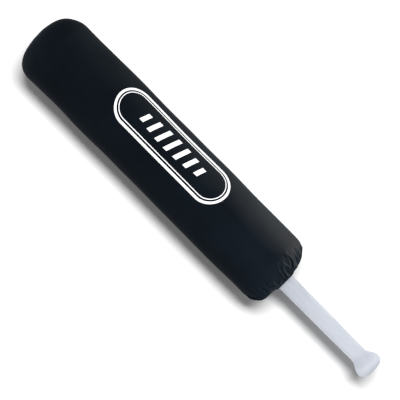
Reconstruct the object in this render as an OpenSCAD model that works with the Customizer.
// Padded striking bat: a hollow plastic bat core inside firm and soft foam, in a sewn fabric cover.
// Millimetres. The bat lies along X: the knob's end face is at X = 0 and the padded tip is at +X.
// The padding rests on its underside, -Z, and the print faces up, turned a little towards -Y.

/* [Padding] */
// Outside diameter of the covered padding
pad_d = 140; // [125:1:165]
// Length of the covered padding, end to end
pad_len = 626; // [600:1:700]
// Depth of the rounded tip
tip_depth = 50; // [35:1:60]
// Squareness of the rounded tip: 2 is an ellipse, more is squarer
tip_power = 2.5; // [2:0.1:4]
// Depth of the rounded handle end
butt_depth = 45; // [35:1:55]
// Squareness of the rounded handle end
butt_power = 3.2; // [2:0.1:4]

/* [Bat core] */
// Length of bare handle, from the knob's end face to the cover
grip_len = 224; // [200:1:260]
// Foam beyond the bat core's far end
tip_pad = 90; // [80:1:110]
// Diameter of the knob
knob_d = 51.2; // [45:0.1:60]
// Diameter of the knob's flat end face
knob_flat_d = 28; // [20:1:30]
// Length of the knob, from its end face to where the flare meets the handle
knob_len = 38.6; // [34:0.1:45]
// Diameter of the handle where it leaves the knob
grip_d_knob = 30.6; // [28:0.1:32]
// Diameter of the handle at the mouth of the cover
grip_d_mouth = 33; // [32.5:0.1:36]
// Diameter of the barrel inside the padding
barrel_d = 57; // [50:1:64]
// Length of the taper from handle to barrel
throat_len = 180; // [140:1:220]
// Corner radius of the barrel's far end
barrel_corner = 12; // [8:1:16]
// Wall of the blow-moulded plastic
wall = 2.2; // [1.5:0.1:3]
// Diameter of the hole that the blow pin leaves in the barrel's far end
vent_d = 5; // [3:1:8]

/* [Foam] */
// Outside diameter of the firm foam sleeves on the bat
firm_d = 100; // [86:1:110]
// Thickness of the handle-end foam ring
butt_ring_len = 46; // [45:1:60]
// Length of the firm plug between the bat's end and the dome
plug_len = 40; // [30:1:40]
// Room under the gathered cloth beside the handle
pleat_room = 7; // [2:0.5:9]
// Room between the foam and the cloth
cloth_room = 0.8; // [0.3:0.1:1.5]
// Squareness of the foam's handle end, which the gathered cloth presses rounder than the cover
ring_power = 2.6; // [2:0.1:3]
// Width of the joint where a foam sheet meets itself
slit = 0.6; // [0.4:0.1:1]

/* [Tape] */
// Width of a tape band round the firm foam
band_w = 48; // [30:1:60]
// Thickness of a tape band
band_t = 0.25; // [0.15:0.05:0.3]
// Number of tape bands
band_count = 3; // [2:1:4]
// Width of the tape along the soft foam's joint
joint_tape_w = 50; // [30:1:70]

/* [Cover] */
// Thickness of the cover, cloth and backing together
cloth_t = 1.2; // [1.1:0.1:2]
// Depth by which the underside is pressed flat where the bat rests
rest_flat = 0.8; // [0.4:0.1:0.9]
// Distance from the tip back to the seam round the tip panel
tip_seam = 24; // [15:1:30]
// Width of the felled seam along the tube, opposite the print
felled_w = 11; // [8:1:14]
// Height by which the felled seam stands proud
felled_t = 0.25; // [0.1:0.05:0.4]
// Section radius of the sewing thread
thread_r = 0.3; // [0.2:0.05:0.4]
// Section radius of the elastic round the handle
elastic_r = 1.7; // [1:0.1:2]
// Section radius of the binding that holds the elastic
binding_r = 2.9; // [2.6:0.1:3.2]

/* [Print] */
// Length of the printed emblem
emblem_len = 262; // [200:1:300]
// Height of the printed emblem, straight across
emblem_h = 76; // [60:1:90]
// Turn of the emblem from the top towards -Y
emblem_turn = 24; // [0:1:30]
// Width of the emblem's heavy outline
outline_w = 4.5; // [3:0.5:8]
// Width of the emblem's fine inner line
fine_w = 1.6; // [1:0.2:4]
// Space between the two lines
line_gap = 3.2; // [2:0.2:6]
// Number of slanted bars inside
bar_count = 7; // [3:2:9]
// Share of each bar's pitch that is printed
bar_fill = 0.4; // [0.3:0.05:0.6]

/* [Hidden] */

overall = grip_len + pad_len;
bat_len = overall - tip_pad;
pad_r = pad_d / 2;
knob_r = knob_d / 2;
rim_r = knob_r - knob_flat_d / 2;
grip_slope = (grip_d_mouth - grip_d_knob) / 2 / (grip_len - knob_len);
throat_start = grip_len + 26;
throat_end = throat_start + throat_len;
barrel_r = barrel_d / 2;

fit_gap = 0.3;
foam_r = pad_r - cloth_t - cloth_room;
firm_r = firm_d / 2;
wrap_bore_r = firm_r + band_t + fit_gap;
ring_start = grip_len + cloth_t + pleat_room;
ring_end = grip_len + butt_ring_len;
plug_start = bat_len + fit_gap;
plug_end = bat_len + plug_len;
dome_start = plug_end + fit_gap;
dome_end = overall - cloth_t - cloth_room;

binding_ring_r = grip_d_mouth / 2 + fit_gap + binding_r;
mouth_r = binding_ring_r + binding_r + fit_gap;
binding_x = grip_len + binding_r - 0.5;
binding_bore_r = elastic_r + fit_gap;
tip_seam_x = overall - tip_seam;
seam_gap = 0.2;
straight_start = grip_len + butt_depth;
straight_end = overall - tip_depth;
seam_turn = emblem_turn;
stitch_inset = 1.5;

print_t = 0.25;
print_gap = 0.05;

STEPS = 20;
$fn = 96;

// Half of a rounded end, from the axis out to the full radius: [radius, distance from the end].
function crown(radius, depth, power, from_a = 0) = [
    for (i = [0:STEPS])
        let (a = from_a + (90 - from_a) * i / STEPS)
        [radius * pow(sin(a), 2 / power), depth * (1 - cos(a))]
];

// The angle at which a crown has reached a smaller radius.
function crown_angle(radius, power, at_r) = asin(pow(at_r / radius, power / 2));

// A smooth step from 0 to 1 as s goes from 0 to 1.
function ease(s) = (1 - cos(180 * s)) / 2;

// Handle radius at a place along the bat, before the throat.
function grip_r(x) = grip_d_knob / 2 + grip_slope * (x - knob_len);

// Outline of the bat core from its end face to its far end, as [radius, x], drawn in by an inset.
function bat_outline(inset) = concat(
    [[0, inset]],
    [
        for (i = [0:STEPS])
            let (a = 90 * i / STEPS)
            [knob_flat_d / 2 + (rim_r - inset) * sin(a), rim_r - (rim_r - inset) * cos(a)]
    ],
    [
        for (i = [1:STEPS])
            let (s = i / STEPS)
            [
                knob_r - inset + (grip_d_knob / 2 - knob_r) * ease(s),
                rim_r + (knob_len - rim_r) * s
            ]
    ],
    [
        for (i = [0:STEPS])
            let (s = i / STEPS)
            [
                grip_r(throat_start) - inset + (barrel_r - grip_r(throat_start)) * ease(s),
                throat_start + throat_len * s
            ]
    ],
    [
        for (i = [0:STEPS])
            let (a = 90 * i / STEPS)
            [
                barrel_r - barrel_corner + (barrel_corner - inset) * cos(a),
                bat_len - barrel_corner + (barrel_corner - inset) * sin(a)
            ]
    ],
    [[0, bat_len - inset]]
);

// Radius of the bat core in the throat.
function throat_r(s) = grip_r(throat_start) + (barrel_r - grip_r(throat_start)) * ease(s);

// Outline of the cover from the mouth to the tip, as [radius, x], drawn in by an inset.
function cover_outline(inset) = concat(
    [
        for (p = crown(
            pad_r - inset, butt_depth - inset, butt_power,
            crown_angle(pad_r - inset, butt_power, mouth_r)
        ))
            [p[0], grip_len + inset + p[1]]
    ],
    [
        for (i = [STEPS:-1:0])
            let (p = crown(pad_r - inset, tip_depth - inset, tip_power)[i])
            [p[0], overall - inset - p[1]]
    ]
);

// Turns an outline of [radius, x] points into a solid round the X axis.
module lathe(points) {
    rotate([0, 90, 0])
        rotate_extrude()
            polygon(points);
}

// A plain tube along X.
module tube_x(start, end, outer_r, inner_r) {
    translate([start, 0, 0])
        rotate([0, 90, 0])
            difference() {
                cylinder(h = end - start, r = outer_r);
                translate([0, 0, -1])
                    cylinder(h = end - start + 2, r = inner_r);
            }
}

// A box that reaches from the axis past the padding, for slits and cuts. side is 1 up, -1 down.
module radial_slot(start, end, width, side) {
    translate([start, -width / 2, side > 0 ? 0 : -pad_d])
        cube([end - start, width, pad_d]);
}

// Everything above the flat on which the padding rests.
module above_rest() {
    translate([-pad_d, -pad_d, rest_flat - pad_r])
        cube([overall + 2 * pad_d, 2 * pad_d, 2 * pad_d]);
}

// The whole fabric shell, before it is parted at the tip seam.
module cover_shell() {
    intersection() {
        difference() {
            lathe(concat(cover_outline(0), [[0, overall - tip_depth], [0, grip_len + butt_depth],
                [mouth_r, grip_len + butt_depth]]));
            lathe(concat(cover_outline(cloth_t), [[0, overall - tip_depth], [0, grip_len - 1],
                [mouth_r - 1, grip_len - 1], [mouth_r - 1, grip_len + cloth_t]]));
            tube_x(grip_len - 1, grip_len + butt_depth + 1, mouth_r, 0);
        }
        above_rest();
    }
}

// Hollow blow-moulded bat with its knob. The vent is the blow pin's hole.
module bat_core() {
    color("ghostwhite")
        difference() {
            lathe(bat_outline(0));
            lathe(bat_outline(wall));
            translate([bat_len - 2 * wall, 0, 0])
                rotate([0, 90, 0])
                    cylinder(h = 4 * wall, d = vent_d);
        }
}

// Firm sleeve on the straight barrel, slit along the top so that it can be sprung on.
module barrel_foam_sleeve() {
    color("gainsboro")
        difference() {
            tube_x(throat_end + fit_gap, bat_len, firm_r, barrel_r + fit_gap);
            radial_slot(throat_end, bat_len + 1, slit, 1);
        }
}

// Firm sleeve round the throat. Its bore follows the taper.
module throat_foam_sleeve() {
    bore = concat(
        [[0, ring_end - 1], [grip_r(throat_start) + fit_gap, ring_end - 1]],
        [
            for (i = [0:STEPS])
                let (s = i / STEPS)
                if (throat_start + throat_len * s > ring_end)
                    [throat_r(s) + fit_gap, throat_start + throat_len * s]
        ],
        [[barrel_r + fit_gap, throat_end + 1], [0, throat_end + 1]]
    );
    color("lightgray")
        difference() {
            tube_x(ring_end + fit_gap, throat_end, firm_r, 0);
            lathe(bore);
            radial_slot(ring_end, throat_end + 1, slit, 1);
        }
}

// Tape bands that hold the slit sleeves shut.
module foam_tape_bands() {
    run = bat_len - ring_end;
    color("tan")
        for (i = [0:band_count - 1]) {
            middle = ring_end + run * (i + 0.5) / band_count;
            tube_x(middle - band_w / 2, middle + band_w / 2, firm_r + band_t + 0.05, firm_r + 0.05);
        }
}

// Firm disc that keeps the bat's end off the soft dome.
module tip_foam_plug() {
    color("gray")
        tube_x(plug_start, plug_end, firm_r, 0);
}

// Soft sheet rolled once round the firm foam. Its joint is along the underside.
module outer_foam_wrap() {
    color("lightyellow")
        difference() {
            tube_x(ring_end + fit_gap, plug_end, foam_r, wrap_bore_r);
            radial_slot(ring_end, plug_end + 1, slit, -1);
        }
}

// Tape along the soft sheet's joint.
module wrap_joint_tape() {
    tape_in = foam_r + 0.03;
    tape_out = foam_r + 0.2;
    color("burlywood")
        intersection() {
            tube_x(ring_end + 4, plug_end - 4, tape_out, tape_in);
            radial_slot(ring_end, plug_end, joint_tape_w, -1);
        }
}

// Foam ring that rounds the handle end and grips the handle.
module butt_foam_ring() {
    rise = grip_len + butt_depth - ring_start;
    outline = concat(
        [[0, ring_start]],
        [for (p = crown(foam_r, rise - fit_gap, ring_power)) [p[0], ring_start + p[1]]],
        [[foam_r, ring_end], [0, ring_end]]
    );
    color("khaki")
        difference() {
            lathe(outline);
            tube_x(grip_len, ring_end + 1, grip_r(throat_start) + fit_gap, 0);
        }
}

// Soft dome that rounds the tip.
module tip_foam_dome() {
    outline = concat(
        [[0, dome_start], [foam_r, dome_start]],
        [
            for (i = [STEPS:-1:0])
                let (p = crown(foam_r, dome_end - dome_start - fit_gap, tip_power)[i])
                [p[0], dome_end - p[1]]
        ]
    );
    color("lightyellow")
        lathe(outline);
}

// Raised strip where the tube's two edges are folded into each other.
module felled_strip() {
    intersection() {
        tube_x(straight_start, straight_end, pad_r + felled_t, pad_r - cloth_t / 2);
        rotate([seam_turn, 0, 0])
            radial_slot(straight_start, straight_end, felled_w, -1);
    }
}

// Cloth tube with its gathered handle end and its felled seam.
module cover_body() {
    color("#11161e") {
        intersection() {
            cover_shell();
            translate([0, -pad_d, -pad_d])
                cube([tip_seam_x - seam_gap / 2, 2 * pad_d, 2 * pad_d]);
        }
        felled_strip();
    }
}

// Round cloth panel that closes the tip.
module cover_tip_panel() {
    color("#161c26")
        intersection() {
            cover_shell();
            translate([tip_seam_x + seam_gap / 2, -pad_d, -pad_d])
                cube([tip_seam, 2 * pad_d, 2 * pad_d]);
        }
}

// Bias binding sewn round the mouth. It is open along the stitched edge, away from the handle.
module mouth_binding() {
    color("#0c1016")
        rotate([0, 90, 0])
            rotate_extrude()
                translate([binding_ring_r, binding_x])
                    difference() {
                        circle(r = binding_r);
                        circle(r = binding_bore_r);
                        translate([0, -fit_gap / 2])
                            square([2 * binding_r, fit_gap]);
                    }
}

// Elastic ring inside the binding.
module mouth_elastic() {
    color("white")
        rotate([0, 90, 0])
            rotate_extrude()
                translate([binding_ring_r, binding_x])
                    circle(r = elastic_r);
}

// Two rows of thread along the felled seam.
module back_seam_thread() {
    row_r = pad_r + felled_t + thread_r + print_gap;
    row_angle = asin((felled_w / 2 - stitch_inset) / row_r);
    color("dimgray")
        for (side = [-1, 1])
            rotate([seam_turn + side * row_angle, 0, 0])
                translate([straight_start + stitch_inset, 0, -row_r])
                    rotate([0, 90, 0])
                        cylinder(h = straight_end - straight_start - 2 * stitch_inset, r = thread_r);
}

// Ring of thread that sews the binding to the cover.
module binding_thread() {
    ring_r = mouth_r + stitch_inset;
    ring_a = crown_angle(pad_r, butt_power, ring_r - thread_r);
    ring_x = grip_len + butt_depth * (1 - cos(ring_a)) - thread_r - print_gap;
    color("dimgray")
        rotate([0, 90, 0])
            rotate_extrude()
                translate([ring_r, ring_x])
                    circle(r = thread_r);
}

// A long shape with half-round ends.
module capsule(length, height) {
    square([length - height, height], center = true);
    for (side = [-1, 1])
        translate([side * (length - height) / 2, 0])
            circle(d = height);
}

// A closed line of one width that follows a capsule.
module capsule_line(length, height, line_w) {
    difference() {
        capsule(length, height);
        capsule(length - 2 * line_w, height - 2 * line_w);
    }
}

// One slanted bar, centred.
module slanted_bar(width, height, lean) {
    polygon([
        [-width / 2 - lean / 2, -height / 2], [width / 2 - lean / 2, -height / 2],
        [width / 2 + lean / 2, height / 2], [-width / 2 + lean / 2, height / 2]
    ]);
}

// Flat drawing of the emblem: two outlines and a row of slanted bars that shrink to the ends.
module emblem_drawing() {
    inner_step = 2 * (outline_w + line_gap);
    bar_pitch = emblem_len * 0.085;
    bar_lean = 0.3;
    capsule_line(emblem_len, emblem_h, outline_w);
    capsule_line(emblem_len - inner_step, emblem_h - inner_step, fine_w);
    for (i = [0:bar_count - 1]) {
        place = i - (bar_count - 1) / 2;
        bar_h = emblem_h * (0.44 - 0.02 * place * place);
        translate([place * bar_pitch, 0])
            slanted_bar(bar_pitch * bar_fill, bar_h, bar_h * bar_lean);
    }
}

// Printed film that lies on the cover.
module emblem_print() {
    color("white")
        intersection() {
            tube_x(straight_start, straight_end, pad_r + print_gap + print_t, pad_r + print_gap);
            translate([grip_len + pad_len / 2, 0, 0])
                rotate([emblem_turn, 0, 0])
                    linear_extrude(height = pad_d)
                        emblem_drawing();
        }
}

bat_core();
barrel_foam_sleeve();
throat_foam_sleeve();
foam_tape_bands();
tip_foam_plug();
outer_foam_wrap();
wrap_joint_tape();
butt_foam_ring();
tip_foam_dome();
cover_body();
cover_tip_panel();
mouth_binding();
mouth_elastic();
back_seam_thread();
binding_thread();
emblem_print();
